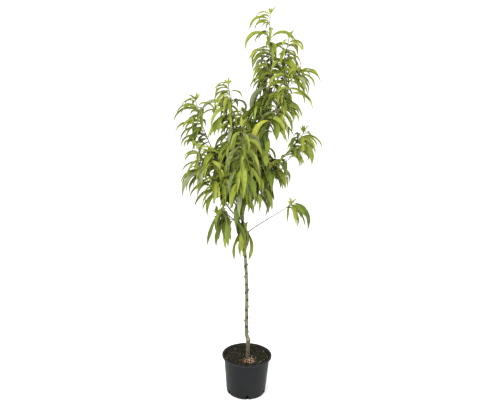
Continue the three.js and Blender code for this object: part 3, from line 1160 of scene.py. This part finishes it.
# How each limb carries its leaves: the share of its length that is bare, its side twigs and their length
# in mm; where given, by how many degrees its leaves set off lower, and how many metres further from a tip
# they are taken to be, which makes them older.
habit = {
    "leader": {"bare": 0.3, "twigs": 13, "twigLength": (50, 110), "pairs": 1.0},
    "left_high": {"bare": 0.3, "twigs": 8, "twigLength": (50, 100), "pairs": 1.0},
    "left_middle": {"bare": 0.3, "twigs": 12, "twigLength": (50, 110), "pairs": 1.0},
    "left_low": {"bare": 0.4, "twigs": 9, "twigLength": (30, 80), "pairs": 1.6, "droop": 50, "older": 0.28},
    "upper_left": {"bare": 0.24, "twigs": 14, "twigLength": (50, 110), "pairs": 1.0},
    "shoulder": {"bare": 0.25, "twigs": 6, "twigLength": (40, 80), "pairs": 1.0},
    "right_upper": {"bare": 0.12, "twigs": 13, "twigLength": (50, 120), "pairs": 1.0},
    "right_middle": {"bare": 0.24, "twigs": 10, "twigLength": (50, 100), "pairs": 1.0},
    "right_low": {"bare": 0.84, "twigs": 3, "twigLength": (30, 60), "pairs": 1.6, "droop": 15, "older": 0.08},
    "back_left": {"bare": 0.28, "twigs": 12, "twigLength": (60, 120), "pairs": 1.0, "droop": 15},
    "back_right": {"bare": 0.28, "twigs": 12, "twigLength": (60, 120), "pairs": 1.0, "droop": 15},
    "back_high": {"bare": 0.3, "twigs": 10, "twigLength": (50, 110), "pairs": 1.0, "droop": 15},
    "front": {"bare": 0.24, "twigs": 12, "twigLength": (50, 100), "pairs": 1.0, "droop": 20, "older": 0.06},
}


def easeTo(a, b, t):
    t = min(1, max(0, t))
    return a + (b - a) * t * t * (3 - 2 * t)


# A share of the older leaves takes the pale tone: underside colour, and partly painted sheen.
def pickTone(age, roll):
    draw = roll.random()
    if age < 0.22:
        return "young" if draw < 0.4 else "fresh"
    if age < 0.5:
        return "young" if draw < 0.16 else "fresh" if draw < 0.66 else "mature" if draw < 0.92 else "pale"
    if draw > 0.985:
        return "yellow"
    return "fresh" if draw < 0.22 else "mature" if draw < 0.66 else "deep" if draw < 0.92 else "pale"


# A leaf of the age that it has at this distance from the shoot's tip, tried at a few headings until it fits.
def growLeaf(foot, heading, fromTip, roll, droop=0):
    age = min(1, fromTip / 0.28)
    for attempt in range(9):
        length = easeTo(growth["lengthAtTip"], growth["lengthBelow"], fromTip / 0.11)
        length *= roll.uniform(0.72, 1.25)
        length *= 1 - 0.07 * attempt
        rise = easeTo(growth["riseAtTip"], growth["riseBelow"], fromTip / 0.2) - droop
        rise = math.radians(rise + roll.uniform(-26, 22))
        hang = easeTo(growth["hangAtTip"], growth["hangBelow"], fromTip / 0.1)
        hang = math.radians(hang + roll.uniform(-24, 20))
        ease = easeTo(1.0, 0.55, age) * roll.uniform(0.85, 1.15)
        run = leafRun(length, rise, rise - hang, ease, leafShape["rows"])
        turn = heading + math.radians(roll.uniform(-30, 30) + attempt * roll.choice((-24, 24)))
        if leafFits(foot, turn, run):
            slender = easeTo(*growth["slender"], fromTip / 0.15) * roll.uniform(0.88, 1.12)
            torn = roll.randint(1, 3) if age > 0.6 and roll.random() < 0.07 else 0
            grown = age == 1
            width = length * slender * (1 + growth["broader"] * grown)
            addLeaf(foot, turn, run, width, pickTone(age, roll), roll, torn, grown, 1.9)
            return True
    return False


# Leaves at the nodes of a shoot, from its tip down to where it is bare.
def dressShoot(line, bare, pairs, roll, older=0.0, tuft=6, droop=0):
    lengths = [0]
    for p, q in zip(line[::-1], line[::-1][1:]):
        lengths.append(lengths[-1] + (q - p).length)
    total = lengths[-1]
    fromTip, heading = 0.004, roll.uniform(0, 2 * math.pi)
    while fromTip < total * (1 - bare):
        i = next(k for k, length in enumerate(lengths) if length >= fromTip)
        foot = line[::-1][i]
        count = 1 + (roll.random() < pairs) * (fromTip > 0.03)
        count += (roll.random() < pairs * 0.35) * (fromTip > 0.08)
        for k in range(count):
            spread = math.radians((k - (count - 1) / 2) * 52)
            growLeaf(foot, heading + spread, fromTip + older, roll, droop)
        heading += math.radians(growth["turn"])
        gap = easeTo(growth["gapAtTip"], growth["gapBelow"], (fromTip + older) / 0.12)
        fromTip += gap * roll.uniform(0.8, 1.25)
    if tuft:
        addTuft(line[-tuft], roll)


# The unopened leaves at a shoot's very end, upright and close together.
def addTuft(foot, roll):
    start = roll.uniform(0, 6.28)
    for k in range(7):
        length = roll.uniform(0.024, 0.050)
        rise = math.radians(roll.uniform(60, 86))
        run = leafRun(length, rise, math.radians(roll.uniform(10, 70)), 1, leafShape["rows"])
        addLeaf(foot, start + k * 1.9, run, length * 0.27, "young" if k % 3 else "fresh", roll)


def addTwig(line, foot, tip):
    def radiusAt(share, angle, spot):
        node = 0.25 * mm * max(0, math.sin(share * 24)) ** 4
        return (foot + (tip - foot) * share) * mm + node

    addTube(twigBin, line, 7, radiusAt)


# A side twig that rises out of the limb and turns up towards its end.
def twigLine(foot, heading, lift, length):
    ahead = Vector((math.cos(heading), math.sin(heading), 0))
    points = [foot]
    for share in (0.35, 0.7, 1.0):
        slope = lift + 0.35 * share
        points.append(points[-1] + (ahead * math.cos(slope) + up * math.sin(slope)) * length * 0.35)
    return smoothLine(points, 5 * mm)


def growTwigs(line, ways, roll):
    heading = roll.uniform(0, 2 * math.pi)
    start = ways["bare"]
    for k in range(ways["twigs"]):
        share = start + (0.86 - start) * (k + roll.uniform(0.1, 0.9)) / max(1, ways["twigs"])
        foot = line[int(share * (len(line) - 1))]
        heading += math.radians(growth["turn"])
        for attempt in range(8):
            length = roll.uniform(*ways["twigLength"]) * mm * (1.15 - 0.4 * share)
            turn = heading + math.radians(attempt * 47)
            twig = twigLine(foot, turn, math.radians(roll.uniform(15, 45)), length)
            if insideMasses(twig[-1], 4 * mm) and not inGap(twig[-1]):
                addTwig(twig, 1.5, 0.8)
                dressShoot(twig, 0.15, 0.5, roll, 0.06 + ways.get("older", 0), 0, ways.get("droop", 0))
                break


# Short twigs that hang leaves in front of the stem and below the right side.
spurs = {
    "trunk_front": {"axis": [(-31, 0, 752), (-22, -14, 790), (-10, -26, 826)], "pairs": 3, "droop": 75},
    "trunk_left": {"axis": [(-31, 0, 744), (-35, -12, 766), (-37, -18, 784)], "pairs": 3, "droop": 85},
    "right_hanging": {"axis": [(27, 30, 947), (55, 28, 962), (84, 26, 954)], "pairs": 3, "droop": 60},
}


def growTree():
    for number, (name, limb) in enumerate(limbs.items()):
        roll = random.Random(growth["seed"] * 100 + number)
        line = limbLine(limb, 3 * mm)
        ways = habit[name]
        tuft = 1 if name == "leader" else 6
        dressShoot(line, ways["bare"], ways["pairs"], roll, ways.get("older", 0), tuft, ways.get("droop", 0))
        growTwigs(line, ways, roll)
        print(name, "grown,", leafCount[0], "leaves so far")
    for number, spur in enumerate(spurs.values()):
        roll = random.Random(growth["seed"] * 300 + number)
        line = smoothLine(inMetres(spur["axis"]), 3 * mm)
        addTwig(line, 1.7, 1.0)
        dressShoot(line, 0.1, spur["pairs"], roll, growth["spurAge"], 0, spur["droop"])


growTree()

for tone, (dark, light) in tones.items():
    blades = pieceFrom("leaves_of_" + tone, leafBins[tone], [leafMaterial(tone + " leaf", dark, light)])
    settle(blades, nodesNamed("leaves_") if tone == "mature" else ())
ribs = pieceFrom("leaf_ribs", ribBin, [leafMaterial("leaf rib", (0.24, 0.26, 0.08), (0.34, 0.36, 0.14))])
settle(ribs)
twigBark = barkMaterial("twig bark", (0.040, 0.036, 0.018), (0.085, 0.078, 0.040), (0.16, 0.145, 0.080))
twigs = pieceFrom("twigs", twigBin, [twigBark])
settle(twigs)
print("leaves done,", leafCount[0], "in all")
